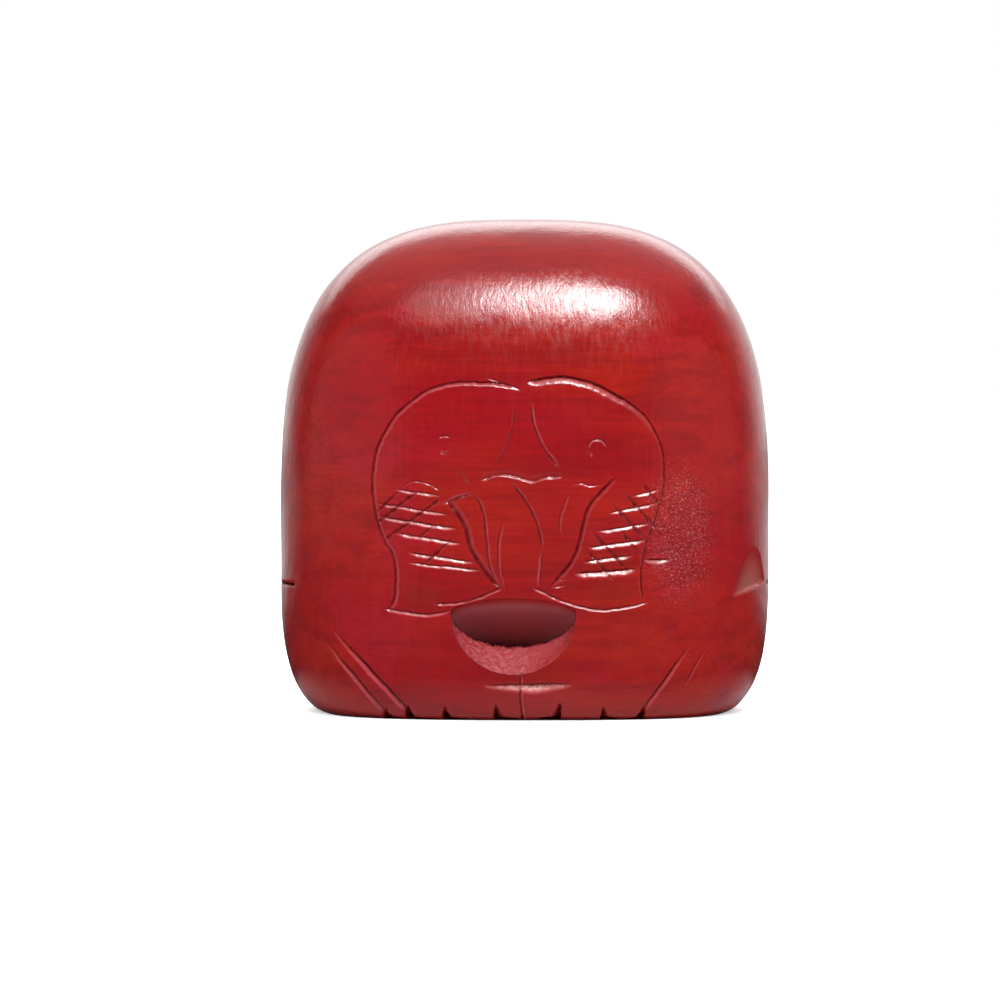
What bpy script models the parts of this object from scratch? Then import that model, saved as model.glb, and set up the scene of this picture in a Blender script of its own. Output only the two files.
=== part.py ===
"""A wooden fish: a small hollow slit drum, carved from one block of wood.

The block stands on its sawn base, with the carved face towards -Y. The mouth slit crosses the back and
runs round both sides, and the sound chamber was hollowed through it. Units are metres, +Z is up, and the
origin is at the middle of the base.
"""

import math

import bmesh
import bpy
from mathutils import Vector

MM = 0.001

# Outer form
BODY_WIDTH = 76.0 * MM
BODY_DEPTH = 56.0 * MM
BODY_HEIGHT = 76.6 * MM
WAIST_HEIGHT = 29.8 * MM
FOOT_REACH = 33.6 * MM
PLAN_POWER = 3.0
CROWN_POWER = 3.0
FOOT_POWER = 4.7
BODY_CUTS = 21

# Walls round the sound chamber
SIDE_WALL = 9.0 * MM
FACE_WALL = 11.0 * MM
BACK_WALL = 8.0 * MM
CROWN_WALL = 9.0 * MM
BASE_WALL = 11.0 * MM
CHAMBER_POWER = 2.6
CHAMBER_CUTS = 9

# Mouth slit: it gapes at the middle of the back and closes to a saw kerf at the sides
MOUTH_HEIGHT = 20.4 * MM
MOUTH_GAPE = 5.4 * MM
KERF = 1.0 * MM
KERF_FRONT = 16.5 * MM
MOUTH_STEPS = 12

# Gouged relief where the kerf ends on the right side
SCOOP_INSET = 3.4 * MM
SCOOP_RISE = 2.4 * MM
SCOOP_LENGTH = 12.0 * MM
SCOOP_WIDTH = 8.0 * MM
SCOOP_DEPTH = 1.6 * MM

# Finger pocket under the tails
POCKET_CENTRE = -1.4 * MM
POCKET_TOP = 19.0 * MM
POCKET_WIDTH = 19.0 * MM
POCKET_ARCH = 2.1 * MM
POCKET_DROP = 9.5 * MM
POCKET_DEPTH = 9.0 * MM
POCKET_FLOOR_RISE = 3.9 * MM
POCKET_STEPS = 12

# The carved pair of fish, drawn 34 units high from the pocket's roof to the top of the right lobe
MOTIF_HEIGHT = 33.3 * MM
MOTIF_UNITS = 34.0

# Knife and gouge cuts
OUTLINE_DEPTH = 1.0 * MM
OUTLINE_WALL = 0.3 * MM
BEVEL_WIDTH = 1.3 * MM
CUT_DEPTH = 0.7 * MM
CUT_WIDTH = 0.7 * MM
SCALE_DEPTH = 0.5 * MM
SCALE_WIDTH = 0.55 * MM
CUT_STEP = 3.6 * MM
TOOL_LIFT = 0.5 * MM
EYE_RADIUS = 1.35 * MM
EYE_RING = 0.32 * MM

# Cuts below the motif
CROSS_HEIGHT = 5.5 * MM
CROSS_SPAN = 13.0 * MM
CORNER_CUT_WIDTH = 1.0 * MM
CORNER_CUT_DEPTH = 0.9 * MM
NOTCH_WIDTH = 1.6 * MM
NOTCH_DEPTH = 1.5 * MM
NOTCH_HEIGHT = 2.2 * MM

HALF_WIDTH = BODY_WIDTH / 2
HALF_DEPTH = BODY_DEPTH / 2
CROWN_REACH = BODY_HEIGHT - WAIST_HEIGHT


def clear_scene():
    for item in list(bpy.data.objects):
        bpy.data.objects.remove(item, do_unlink=True)


def new_collection(name):
    collection = bpy.data.collections.new(name)
    bpy.context.scene.collection.children.link(collection)
    return collection


def mesh_object(name, bm, collection):
    bmesh.ops.recalc_face_normals(bm, faces=bm.faces)
    mesh = bpy.data.meshes.new(name)
    bm.to_mesh(mesh)
    bm.free()
    item = bpy.data.objects.new(name, mesh)
    collection.objects.link(item)
    return item


def as_cutter(item):
    item.hide_render = True
    item.display_type = "WIRE"
    return item


def reach_and_power(height):
    """How far the form reaches above or below the waist, and how squarely it turns over."""
    if height >= WAIST_HEIGHT:
        return CROWN_REACH, CROWN_POWER
    return FOOT_REACH, FOOT_POWER


def face_point(x, z):
    """The point of the carved face above (x, z)."""
    reach, power = reach_and_power(z)
    level = (1 - min(abs(z - WAIST_HEIGHT) / reach, 0.999) ** power) ** (1 / power)
    rest = max(level ** PLAN_POWER - abs(x / HALF_WIDTH) ** PLAN_POWER, 0.001)
    return Vector((x, -HALF_DEPTH * rest ** (1 / PLAN_POWER), z))


def face_normal(point):
    """The outward direction of the body's surface at one of its points."""
    reach, power = reach_and_power(point.z)
    across = abs(point.x / HALF_WIDTH)
    along = abs(point.y / HALF_DEPTH)
    upward = (point.z - WAIST_HEIGHT) / reach
    ring = (across ** PLAN_POWER + along ** PLAN_POWER) ** (power / PLAN_POWER - 1)
    normal = Vector((
        math.copysign(ring * across ** (PLAN_POWER - 1) / HALF_WIDTH, point.x),
        math.copysign(ring * along ** (PLAN_POWER - 1) / HALF_DEPTH, point.y),
        math.copysign(abs(upward) ** (power - 1) / reach, upward),
    ))
    return normal.normalized()


def rounded_block(half, up, down, plan_power, up_power, down_power, cuts):
    """A cube, divided into a grid and blown up to a rounded block about its waist."""
    bm = bmesh.new()
    bmesh.ops.create_cube(bm, size=2.0)
    bmesh.ops.subdivide_edges(bm, edges=bm.edges, cuts=cuts, use_grid_fill=True)
    for vert in bm.verts:
        across, along, upward = vert.co
        reach = up if upward >= 0 else down
        power = up_power if upward >= 0 else down_power
        plan = (abs(across) ** plan_power + abs(along) ** plan_power) ** (power / plan_power)
        stretch = (plan + abs(upward) ** power) ** (-1 / power)
        vert.co = Vector((across * half[0], along * half[1], upward * reach)) * stretch
    return bm


def saw_flat(bm, height):
    """Cuts off what lies below the height and closes the cut with one flat face."""
    geometry = list(bm.verts) + list(bm.edges) + list(bm.faces)
    cut = bmesh.ops.bisect_plane(
        bm, geom=geometry, plane_co=(0, 0, height), plane_no=(0, 0, 1), clear_inner=True)
    rim = [edge for edge in cut["geom_cut"] if isinstance(edge, bmesh.types.BMEdge)]
    bmesh.ops.contextual_create(bm, geom=rim)


def body_blank(collection):
    bm = rounded_block(
        (HALF_WIDTH, HALF_DEPTH), CROWN_REACH, FOOT_REACH,
        PLAN_POWER, CROWN_POWER, FOOT_POWER, BODY_CUTS)
    bmesh.ops.translate(bm, verts=bm.verts, vec=(0, 0, WAIST_HEIGHT))
    saw_flat(bm, 0)
    return mesh_object("fish_body", bm, collection)


def chamber_cutter(collection):
    """The sound chamber, as deep as the walls leave it."""
    low = BASE_WALL
    high = BODY_HEIGHT - CROWN_WALL
    front = FACE_WALL - HALF_DEPTH
    back = HALF_DEPTH - BACK_WALL
    half_height = (high - low) / 2
    bm = rounded_block(
        (HALF_WIDTH - SIDE_WALL, (back - front) / 2), half_height, half_height,
        PLAN_POWER, CHAMBER_POWER, CHAMBER_POWER, CHAMBER_CUTS)
    bmesh.ops.translate(bm, verts=bm.verts, vec=(0, (back + front) / 2, (high + low) / 2))
    return as_cutter(mesh_object("chamber", bm, collection))


def mouth_cutter(collection):
    """A flat outline that gapes in the middle, pushed through the block from the back."""
    end = HALF_WIDTH + TOOL_LIFT
    upper = []
    lower = []
    for step in range(MOUTH_STEPS + 1):
        place = 2 * step / MOUTH_STEPS - 1
        gap = KERF + (MOUTH_GAPE - KERF) * (1 - place ** 2) ** 2
        upper.append(Vector((place * end, -KERF_FRONT, MOUTH_HEIGHT + gap / 2)))
        lower.append(Vector((place * end, -KERF_FRONT, MOUTH_HEIGHT - gap / 2)))
    bm = bmesh.new()
    outline = bm.faces.new([bm.verts.new(point) for point in upper + lower[::-1]])
    pushed = bmesh.ops.extrude_face_region(bm, geom=[outline])
    moved = [item for item in pushed["geom"] if isinstance(item, bmesh.types.BMVert)]
    bmesh.ops.translate(bm, verts=moved, vec=(0, KERF_FRONT + HALF_DEPTH + TOOL_LIFT, 0))
    return as_cutter(mesh_object("mouth", bm, collection))


def scoop_cutter(collection):
    """A long gouge stroke that opens the end of the kerf on the right side."""
    place = face_point(HALF_WIDTH - SCOOP_INSET, MOUTH_HEIGHT + SCOOP_RISE)
    normal = face_normal(place)
    bm = bmesh.new()
    bmesh.ops.create_uvsphere(bm, u_segments=20, v_segments=12, radius=1.0)
    turn = normal.to_track_quat("X", "Z").to_matrix().to_4x4()
    sink = SCOOP_WIDTH / 2 - SCOOP_DEPTH
    for vert in bm.verts:
        size = Vector((SCOOP_WIDTH, SCOOP_WIDTH, SCOOP_LENGTH)) / 2
        scaled = Vector((vert.co.x * size.x, vert.co.y * size.y, vert.co.z * size.z))
        vert.co = turn @ scaled + place + normal * sink
    return as_cutter(mesh_object("scoop", bm, collection))


def loft(name, sections, collection):
    """A closed body through sections that all have the same number of points."""
    bm = bmesh.new()
    rings = [[bm.verts.new(point) for point in section] for section in sections]
    count = len(rings[0])
    for first, second in zip(rings, rings[1:]):
        for corner in range(count):
            following = (corner + 1) % count
            bm.faces.new((first[corner], first[following], second[following], second[corner]))
    bm.faces.new(rings[0])
    bm.faces.new(rings[-1][::-1])
    return as_cutter(mesh_object(name, bm, collection))


def pocket_cutter(collection):
    """A hooked hollow: a curved roof that runs in and down, and a rough ramp that meets it."""
    half = POCKET_WIDTH / 2
    sections = []
    for step in range(POCKET_STEPS + 1):
        angle = math.pi * step / POCKET_STEPS
        swell = max(math.sin(angle), 0.06)
        x = POCKET_CENTRE - half * math.cos(angle)
        line = POCKET_TOP - POCKET_ARCH
        top = face_point(x, line + POCKET_ARCH * swell)
        bottom = face_point(x, line - POCKET_DROP * swell)
        seat = line - (POCKET_DROP - POCKET_FLOOR_RISE) * swell
        inward = Vector((0, POCKET_DEPTH * swell, 0))
        deep = face_point(x, seat) + inward
        roof = face_point(x, (top.z + deep.z) / 2) + inward * 0.72
        roof.z += (top.z - deep.z) * 0.12
        out = Vector((0, -3 * TOOL_LIFT, 0))
        spread = Vector((0, 0, TOOL_LIFT))
        sections.append([top + out + spread, top, roof, deep, bottom, bottom + out - spread])
    return loft("pocket", sections, collection)


def smooth_path(points, step):
    """Points at about equal steps along a smooth curve through the given points."""
    if len(points) == 2:
        points = [points[0], points[0].lerp(points[1], 0.5), points[1]]
    padded = [2 * points[0] - points[1]] + points + [2 * points[-1] - points[-2]]
    path = [points[0]]
    for before, start, end, after in zip(padded, padded[1:], padded[2:], padded[3:]):
        pieces = max(1, round((end - start).length / step))
        for piece in range(1, pieces + 1):
            t = piece / pieces
            curve = 2 * start + (end - before) * t
            curve += (2 * before - 5 * start + 4 * end - after) * t ** 2
            curve += (3 * start - before - 3 * end + after) * t ** 3
            path.append(curve / 2)
    return path


def groove(name, points, left, right, depth, collection, open_end=False):
    """A cut along points (x, z) of the face: left and right are its widths beside the cut's bottom.

    It runs out to nothing at both ends, or stays deep at its last point if open_end is set.
    """
    path = smooth_path([Vector(point) for point in points], CUT_STEP)
    lengths = [0.0]
    for first, second in zip(path, path[1:]):
        lengths.append(lengths[-1] + (second - first).length)
    total = lengths[-1]
    run_out = min(total * 0.45, 3 * MM)
    sections = []
    for index, point in enumerate(path):
        before = path[max(index - 1, 0)]
        after = path[min(index + 1, len(path) - 1)]
        from_start = lengths[index]
        from_end = total if open_end else total - lengths[index]
        strength = min(1.0, from_start / run_out, from_end / run_out)
        place = face_point(*point)
        normal = face_normal(place)
        along = (face_point(*after) - face_point(*before)).normalized()
        side = normal.cross(along).normalized()
        low = depth * strength - 0.04 * MM
        spread = (depth + TOOL_LIFT) / depth
        share = 0.25 + 0.75 * strength
        sections.append([
            place + normal * TOOL_LIFT + side * left * share * spread,
            place + normal * TOOL_LIFT - side * right * share * spread,
            place - normal * low,
        ])
    return loft(name, sections, collection)


def motif(*pairs):
    """Places of drawing points: across from the middle line, and up from the pocket's roof."""
    scale = MOTIF_HEIGHT / MOTIF_UNITS
    return [(across * scale, POCKET_TOP + up * scale) for across, up in pairs]


def carve_outlines(collection):
    """The two fish bodies: a steep outer wall and a bevel that rolls in to the body."""
    left = motif((0, 32), (-6, 33.3), (-12, 33), (-19, 29), (-23, 22), (-22.7, 12), (-20, 6.2), (-19.8, -1.2))
    right = motif((0.6, 33), (5, 34), (11, 33.2), (18.5, 28.5), (22, 20), (20.5, 12), (18.4, 5.5), (18.5, -0.3))
    groove("left_outline", left, OUTLINE_WALL, BEVEL_WIDTH * 0.7, OUTLINE_DEPTH, collection)
    groove("right_outline", right, BEVEL_WIDTH, OUTLINE_WALL, OUTLINE_DEPTH, collection)
    soles = {
        "left_sole": motif((-21.5, -1.9), (-16, -2.8), (-10.5, -2)),
        "left_belly": motif((-13.6, -1), (-8, -0.6), (-3, 1.5)),
        "right_sole": motif((1.8, 1.5), (8, -1.2), (13, -1.9), (19.5, -0.8)),
    }
    for name, points in soles.items():
        groove(name, points, CUT_WIDTH / 2, CUT_WIDTH / 2, CUT_DEPTH, collection)


def carve_fins(collection):
    """Brow, fins and tails: plain knife cuts between the two bodies."""
    cuts = {
        "brow_right": motif((1.4, 30.2), (2, 25.5), (5.7, 20.2)),
        "brow_left": motif((-1.2, 29.5), (-1.8, 24), (-4.4, 20.4)),
        "brow_base": motif((-6.6, 18.3), (-3, 19.2), (1.7, 18.4), (6.2, 19)),
        "left_fin": motif((-10.5, 20.3), (-8, 17)),
        "left_gill": motif((-11.6, 15), (-7.6, 16.3)),
        "left_tail_outer": motif((-11.6, 14.8), (-8.6, 10.2), (-7, 5.5), (-3.6, 1.5)),
        "left_tail_inner": motif((-7.3, 16.1), (-5.6, 9.3), (-4.2, 2.5)),
        "left_spine": motif((-2.9, 11.5), (-3.8, 7), (-2.9, 1.2)),
        "right_spine": motif((-1.8, 17.8), (1.6, 12.8), (3.1, 7.5), (2.5, 1.7)),
        "right_gill": motif((7.8, 17.4), (12.4, 17.8)),
        "right_tail_inner": motif((7.1, 16.2), (5.7, 11.5), (5.9, 9.3)),
        "right_tail_outer": motif((14, 18.3), (10, 13.4), (8.6, 7.7), (4.3, 1.8)),
    }
    for name, points in cuts.items():
        groove(name, points, CUT_WIDTH / 2, CUT_WIDTH / 2, CUT_DEPTH, collection)


def carve_scales(collection):
    """The cross-hatched patches: rows across each body, and cuts slanting over them."""
    left_rows = [
        ((-20, 16.8), (-12.7, 15.8)), ((-22.5, 14.6), (-11.6, 13)), ((-22.2, 12.5), (-10.2, 10.8)),
        ((-19.7, 10), (-9.6, 8.5)), ((-17.8, 7), (-7.7, 5.7)), ((-17.7, 5.3), (-6.9, 4.4)),
    ]
    left_slants = [
        ((-18.9, 16.3), (-22.5, 13)), ((-16, 16.2), (-22.5, 11.4)), ((-12.8, 15.1), (-21.3, 8.8)),
        ((-10.9, 9), (-15.1, 5.1)), ((-13.8, 11), (-16.2, 9.1)),
    ]
    right_rows = [
        ((16.9, 15.8), (21.4, 16.9)), ((13.3, 13.3), (20.5, 14.7)), ((11.5, 10.5), (19.4, 11.6)),
        ((10.2, 7.9), (19, 9.1)), ((9.6, 5.7), (17, 6.7)), ((8.2, 3.9), (17.7, 4.5)),
        ((20.5, 10.9), (22.4, 10.9)), ((18.8, 6), (23, 6)),
    ]
    right_slants = [
        ((18.4, 17.6), (21.2, 14.4)), ((15.7, 16.2), (20.5, 10.7)), ((14, 14.4), (18.5, 9.5)),
        ((15.2, 10.4), (17.7, 7.1)), ((10.9, 10), (16.1, 4.3)), ((9.9, 7.2), (14.2, 2.8)),
    ]
    for side, cuts in (("left", left_rows + left_slants), ("right", right_rows + right_slants)):
        for number, ends in enumerate(cuts):
            name = f"{side}_scale_{number}"
            groove(name, motif(*ends), SCALE_WIDTH / 2, SCALE_WIDTH / 2, SCALE_DEPTH, collection)
    shoulder = motif((-18.8, 16.8), (-17, 17.8), (-12.6, 16.3))
    groove("left_shoulder", shoulder, SCALE_WIDTH / 2, SCALE_WIDTH / 2, SCALE_DEPTH, collection)


def punch_eyes(collection):
    """Each eye is a ring struck with a round punch."""
    for name, place in (("left_eye", (-12.1, 23.7)), ("right_eye", (11.6, 23.3))):
        centre = face_point(*motif(place)[0])
        normal = face_normal(centre)
        bpy.ops.mesh.primitive_torus_add(
            major_radius=EYE_RADIUS, minor_radius=EYE_RING, major_segments=14, minor_segments=4)
        eye = bpy.context.object
        eye.name = name
        eye.location = centre
        eye.rotation_euler = normal.to_track_quat("Z", "Y").to_euler()
        for owner in list(eye.users_collection):
            owner.objects.unlink(eye)
        collection.objects.link(as_cutter(eye))


def carve_cross(collection):
    """A level cut and an upright one between the pocket and the bottom edge."""
    middle = POCKET_CENTRE + 1.0 * MM
    pocket_foot = POCKET_TOP - POCKET_ARCH - POCKET_DROP
    level = [(middle - CROSS_SPAN * 0.42, CROSS_HEIGHT), (middle + CROSS_SPAN * 0.58, CROSS_HEIGHT)]
    upright = [(middle, pocket_foot), (middle + 0.4 * MM, 0.0)]
    groove("cross_level", level, 0.2 * MM, CORNER_CUT_WIDTH * 0.7, CORNER_CUT_DEPTH, collection)
    groove("cross_upright", upright, CUT_WIDTH / 2, CUT_WIDTH / 2, CUT_DEPTH, collection, open_end=True)


def carve_corners(collection):
    """Two slanting cuts at each lower corner: insets from the body's side, and heights, in millimetres."""
    cuts = {
        "left_corner_inner": (-1, (9.0, 13.9), (20.3, 1.9)),
        "left_corner_outer": (-1, (8.0, 11.9), (16.8, 1.4)),
        "right_corner_inner": (1, (12.6, 11.6), (19.7, 1.6)),
        "right_corner_outer": (1, (10.1, 11.1), (14.1, 4.2)),
    }
    half = CORNER_CUT_WIDTH / 2
    for name, (side, *ends) in cuts.items():
        points = [(side * (HALF_WIDTH - inset * MM), height * MM) for inset, height in ends]
        groove(name, points, half, half, CORNER_CUT_DEPTH, collection)


def carve_notches(collection):
    """Scallops along the front of the bottom edge."""
    for number, share in enumerate((-0.56, -0.47, -0.32, -0.115, 0.15, 0.32, 0.485)):
        x = share * HALF_WIDTH
        points = [(x, NOTCH_HEIGHT), (x, -0.5 * MM)]
        groove(f"notch_{number}", points, NOTCH_WIDTH * 0.8, NOTCH_WIDTH * 0.2, NOTCH_DEPTH,
               collection, open_end=True)


def lacquer():
    """Glossy red lacquer over wood."""
    material = bpy.data.materials.new("red_lacquered_wood")
    material.use_nodes = True
    shader = material.node_tree.nodes["Principled BSDF"]
    shader.inputs["Base Color"].default_value = (0.36, 0.018, 0.016, 1.0)
    shader.inputs["Roughness"].default_value = 0.28
    shader.inputs["Metallic"].default_value = 0.0
    material.diffuse_color = (0.36, 0.018, 0.016, 1.0)
    return material


def cut(body, name, target):
    """Takes an object, or every object of a collection, out of the body."""
    boolean = body.modifiers.new(name, "BOOLEAN")
    boolean.operation = "DIFFERENCE"
    boolean.solver = "EXACT"
    if isinstance(target, bpy.types.Collection):
        boolean.operand_type = "COLLECTION"
        boolean.collection = target
    else:
        boolean.object = target


def main():
    clear_scene()
    parts = new_collection("wooden_fish")
    hollows = new_collection("hollow_cutters")
    strokes = new_collection("carving_cutters")

    body = body_blank(parts)
    body.data.materials.append(lacquer())

    carve_outlines(strokes)
    carve_fins(strokes)
    carve_scales(strokes)
    punch_eyes(strokes)
    carve_cross(strokes)
    carve_corners(strokes)
    carve_notches(strokes)
    cut(body, "carving", strokes)

    cut(body, "pocket", pocket_cutter(hollows))
    cut(body, "scoop", scoop_cutter(hollows))
    cut(body, "chamber", chamber_cutter(hollows))
    cut(body, "mouth", mouth_cutter(hollows))

    body.data.shade_smooth()
    body.data.set_sharp_from_angle(angle=math.radians(30))


main()
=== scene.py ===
"""The finished look of a wooden fish: a carved, red-lacquered block on a plain pale floor.

The skin is the block's own form, cut open by the chamber and the mouth slit, refined where the carving
is fine and pressed in along every stroke. Inside this file lengths are millimetres, and become metres
when a mesh is made.
"""

import math

import bmesh
import bpy
import numpy as np
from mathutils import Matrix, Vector


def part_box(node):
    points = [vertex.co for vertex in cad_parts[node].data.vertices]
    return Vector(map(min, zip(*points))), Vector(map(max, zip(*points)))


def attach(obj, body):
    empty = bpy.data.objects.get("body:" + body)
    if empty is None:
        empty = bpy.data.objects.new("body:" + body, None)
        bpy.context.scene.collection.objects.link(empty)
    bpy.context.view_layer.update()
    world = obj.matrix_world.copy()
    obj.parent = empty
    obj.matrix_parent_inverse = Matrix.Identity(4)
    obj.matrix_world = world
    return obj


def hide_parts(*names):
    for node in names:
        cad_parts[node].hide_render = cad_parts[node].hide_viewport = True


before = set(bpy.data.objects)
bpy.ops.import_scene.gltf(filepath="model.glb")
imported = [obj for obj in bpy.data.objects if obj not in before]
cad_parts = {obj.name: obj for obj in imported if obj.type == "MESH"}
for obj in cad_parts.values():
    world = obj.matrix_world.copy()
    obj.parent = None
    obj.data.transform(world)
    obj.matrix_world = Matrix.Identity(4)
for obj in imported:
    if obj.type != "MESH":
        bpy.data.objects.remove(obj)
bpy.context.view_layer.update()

MM = 0.001

# Outer form, as in the solid
LOW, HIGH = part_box("fish_body")
HALF_WIDTH = (HIGH.x - LOW.x) / 2 / MM
HALF_DEPTH = (HIGH.y - LOW.y) / 2 / MM
HEIGHT = (HIGH.z - LOW.z) / MM
WAIST = 29.8
FOOT_REACH = 33.6
CROWN_REACH = HEIGHT - WAIST
PLAN_POWER = 3.0
CROWN_POWER = 3.0
FOOT_POWER = 4.7
BLANK_CUTS = 31

# Chamber and mouth slit, the kerf cut thinner than in the solid
SIDE_WALL = 9.0
FACE_WALL = 11.0
BACK_WALL = 8.0
CROWN_WALL = 9.0
BASE_WALL = 11.0
CHAMBER_POWER = 2.6
CHAMBER_CUTS = 15
MOUTH_HEIGHT = 20.4
MOUTH_GAPE = 5.4
KERF = 0.25
KERF_LEFT = 16.5
KERF_RIGHT = 9.0
MOUTH_STEPS = 32
LIP_ROUND = 0.3

# The worn edge round the sawn base, which the solid leaves sharp
BASE_ROUND = 1.2
BASE_INSET = 1.4

# Finger pocket, with a more arched roof than in the solid
POCKET_CENTRE = -1.4
POCKET_TOP = 19.0
POCKET_WIDTH = 19.0
POCKET_ARCH = 2.3
POCKET_DROP = 9.5
POCKET_DEPTH = 9.0
POCKET_FLOOR_RISE = 3.9
ROOF_CURVE = 2.4
ROOF_ROLL = 1.15
LIP_SHARE = 0.55

# Chiselled flat in front of the kerf on the right side, where the solid has a plain scoop
RELIEF_INSET = 2.9
RELIEF_DROP = 0.6
RELIEF_LENGTH = 6.0
RELIEF_DEPTH = 0.8
RELIEF_TILT = math.radians(11)
RELIEF_LEDGE = 0.3

# The motif is drawn in units, 34 of them high, as in the solid
MOTIF_SCALE = 33.3 / 34.0

# Rows of the marks that a stroke leaves
DEPTH, PALE, DARK, GLINT = range(4)

# Reading the bare block: above this share of the crown, points move along rays; nearer than this to
# the form and turned out at least this much, a triangle is skin
RAY_RISE = 0.35
ON_FORM = 0.12
FACING = 0.7

# Triangle edges on the skin
FINE_EDGE = 0.15
POCKET_EDGE = 0.32
RELIEF_EDGE = 0.4
LIP_EDGE = 0.45
FACE_EDGE = 0.8
BODY_EDGE = 1.35
INNER_EDGE = 3.0
INNER_DEPTH = 1.5
FRONT_SHARE = 0.3
EDGE_GROWTH = 0.3
CROWN_GROWTH = 0.02
CROWN_FROM = 50.0
FINE_BAND = 0.55
LIP_BAND = 0.8
REFINE_ROUNDS = 9
SHARP_ANGLE = math.radians(62)

# The map of distances to the strokes
MAP_CELL = 0.2
MAP_LOW = -2.0
MAP_REACH = 6.0
MAP_FAR = 30.0

# Unevenness of the hand-shaped form and of the pocket's ramp: height, size and phase of each ripple
UNEVEN = ((0.05, 13, 0.4), (0.02, 5, 2.0))
RAMP_ROUGH = ((0.12, 1.1, 0.9), (0.08, 0.6, 1.9))
STROKE_WANDER = 0.035
CARVED_BEFORE = -2.0

# Places on the face, across and up: brown shades over the tails, and a pitted patch with painted glare
# specks
TAIL_SHADES = ((-15.2, 19.4), (13.4, 19.6))
GLARE_PATCH = (23.9, 28.5)

# Camera: it looks nearly level at the carved face
VIEW_DISTANCE = 907.0
VIEW_ELEVATION = math.radians(2.0)
VIEW_AZIMUTH = math.radians(1.0)
VIEW_TARGET = (-3.91, 0.0, 32.85)
VIEW_WIDTH = 156.35
SENSOR_WIDTH = 36.0

# Lamps: azimuth and elevation in degrees, distance, width and height in metres, power in watts
LAMPS = (
    ("window", 3, 51, 0.8, 0.9, 0.4, 1.4),
    ("inner_window", 9, 50, 0.79, 0.5, 0.32, 1.2),
    ("core", 13.5, 49, 0.78, 0.3, 0.25, 4.6),
    ("left_fill", -62, 4, 0.8, 1.2, 1.0, 0.85),
    ("right_fill", 60, 2, 0.8, 1.1, 0.9, 0.6),
    ("rim", 180, 34, 0.8, 1.4, 0.4, 2.4),
)

rng = np.random.default_rng(7)


def clear_defaults():
    for name in ("Cube", "Light", "Camera"):
        item = bpy.data.objects.get(name)
        if item:
            bpy.data.objects.remove(item, do_unlink=True)


# The block's form

def level_radius(z):
    """How wide the form is at a height, as a share of its widest level."""
    reach = np.where(z >= WAIST, CROWN_REACH, FOOT_REACH)
    power = np.where(z >= WAIST, CROWN_POWER, FOOT_POWER)
    share = np.clip(np.abs(z - WAIST) / reach, 0, 0.9999)
    return (1 - share ** power) ** (1 / power)


def to_surface(points):
    """Moves points to the form: level on its sides, and along rays from the waist near the top."""
    x, y, z = points.T
    ring = (np.abs(x / HALF_WIDTH) ** PLAN_POWER + np.abs(y / HALF_DEPTH) ** PLAN_POWER) ** (1 / PLAN_POWER)
    sides = level_radius(z) / np.maximum(ring, 1e-6)
    level = np.stack([x * sides, y * sides, z], 1)
    rise = (z - WAIST) / CROWN_REACH
    stretch = (ring ** CROWN_POWER + np.abs(rise) ** CROWN_POWER) ** (-1 / CROWN_POWER)
    rays = np.stack([x * stretch, y * stretch, WAIST + (z - WAIST) * stretch], 1)
    return np.where((rise > RAY_RISE)[:, None], rays, level)


def surface_normals(points):
    x, y, z = points.T
    high = z >= WAIST
    reach = np.where(high, CROWN_REACH, FOOT_REACH)
    power = np.where(high, CROWN_POWER, FOOT_POWER)
    across, along, upward = np.abs(x / HALF_WIDTH), np.abs(y / HALF_DEPTH), (z - WAIST) / reach
    ring = np.maximum(across ** PLAN_POWER + along ** PLAN_POWER, 1e-9) ** (power / PLAN_POWER - 1)
    normals = np.stack([
        np.sign(x) * ring * across ** (PLAN_POWER - 1) / HALF_WIDTH,
        np.sign(y) * ring * along ** (PLAN_POWER - 1) / HALF_DEPTH,
        np.sign(upward) * np.abs(upward) ** (power - 1) / reach,
    ], 1)
    return normals / np.linalg.norm(normals, axis=1, keepdims=True)


def face_point(x, z):
    rest = level_radius(np.float64(z)) ** PLAN_POWER - abs(x / HALF_WIDTH) ** PLAN_POWER
    return np.array([x, -HALF_DEPTH * max(rest, 0.001) ** (1 / PLAN_POWER), z])


def rounded_block(half, up, down, plan_power, up_power, down_power, cuts):
    """A gridded cube blown up to a rounded block about its waist."""
    bm = bmesh.new()
    bmesh.ops.create_cube(bm, size=2.0)
    bmesh.ops.subdivide_edges(bm, edges=bm.edges, cuts=cuts, use_grid_fill=True)
    for vert in bm.verts:
        across, along, upward = vert.co
        reach = up if upward >= 0 else down
        power = up_power if upward >= 0 else down_power
        plan = (abs(across) ** plan_power + abs(along) ** plan_power) ** (power / plan_power)
        stretch = (plan + abs(upward) ** power) ** (-1 / power)
        vert.co = Vector((across * half[0], along * half[1], upward * reach)) * stretch
    return bm


def object_from(bm, name):
    bmesh.ops.recalc_face_normals(bm, faces=bm.faces)
    mesh = bpy.data.meshes.new(name)
    bm.to_mesh(mesh)
    bm.free()
    item = bpy.data.objects.new(name, mesh)
    bpy.context.scene.collection.objects.link(item)
    return item


def blank():
    bm = rounded_block(
        (HALF_WIDTH, HALF_DEPTH), CROWN_REACH, FOOT_REACH,
        PLAN_POWER, CROWN_POWER, FOOT_POWER, BLANK_CUTS)
    bmesh.ops.translate(bm, verts=bm.verts, vec=(0, 0, WAIST))
    geometry = list(bm.verts) + list(bm.edges) + list(bm.faces)
    cut = bmesh.ops.bisect_plane(
        bm, geom=geometry, plane_co=(0, 0, 0), plane_no=(0, 0, 1), clear_inner=True)
    rim = [edge for edge in cut["geom_cut"] if isinstance(edge, bmesh.types.BMEdge)]
    bmesh.ops.contextual_create(bm, geom=rim)
    return object_from(bm, "blank")


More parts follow.
